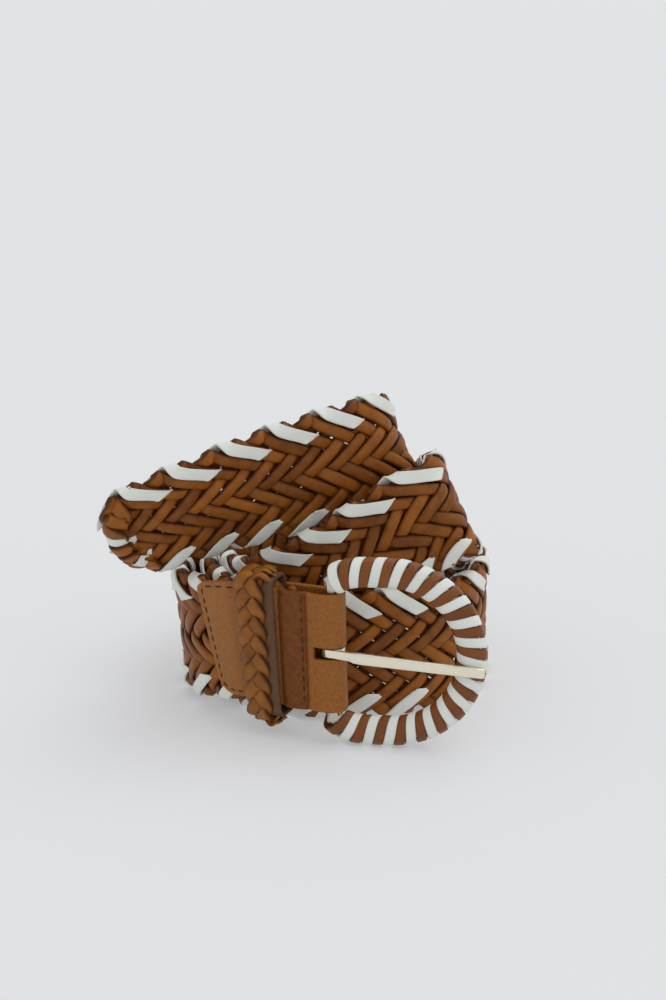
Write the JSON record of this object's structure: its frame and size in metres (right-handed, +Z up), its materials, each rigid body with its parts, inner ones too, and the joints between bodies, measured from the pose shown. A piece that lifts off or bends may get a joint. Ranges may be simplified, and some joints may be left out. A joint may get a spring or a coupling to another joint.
{
  "type": "braided belt",
  "caption": "Braided leather belt rolled up on its edge, white lace along both edges, laced buckle at the front and a free end at the left.",
  "frame": {"origin": "middle of the belt's footprint, on the floor plane", "axes": "+Z up, +X to the right as pictured, +Y away from the front"},
  "size_m": [0.1168, 0.1182, 0.094],
  "materials": {
    "tan_braid": "smooth tan strands",
    "tab_leather": "smooth matt brown",
    "fold_leather": "fine grained brown",
    "loop_leather": "waxed tan plait",
    "ring_steel": "plain",
    "wrap_lace": "smooth tan and white lace",
    "prong_metal": "pale polished"
  },
  "bodies": {
    "belt": {"braided_strap": "tan_braid", "front_tab": "tab_leather", "buckle_fold": "fold_leather", "keeper_loop": "loop_leather"},
    "buckle": {"buckle_ring": "ring_steel", "buckle_wrap": "wrap_lace"},
    "tongue": {"prong": "prong_metal"}
  },
  "joints": [
    {"name": "buckle_swing", "type": "hinge", "parent": "belt", "child": "buckle", "pos_m": [0.01033, -0.04695, 0.02862], "axis": [-0.0241, 0.008, 0.9997], "range_deg": [-40, 15]},
    {"name": "prong_swing", "type": "hinge", "parent": "buckle", "child": "tongue", "pos_m": [0.01033, -0.04695, 0.02862], "axis": [-0.0241, 0.008, 0.9997], "range_deg": [-70, 0]}
  ]
}
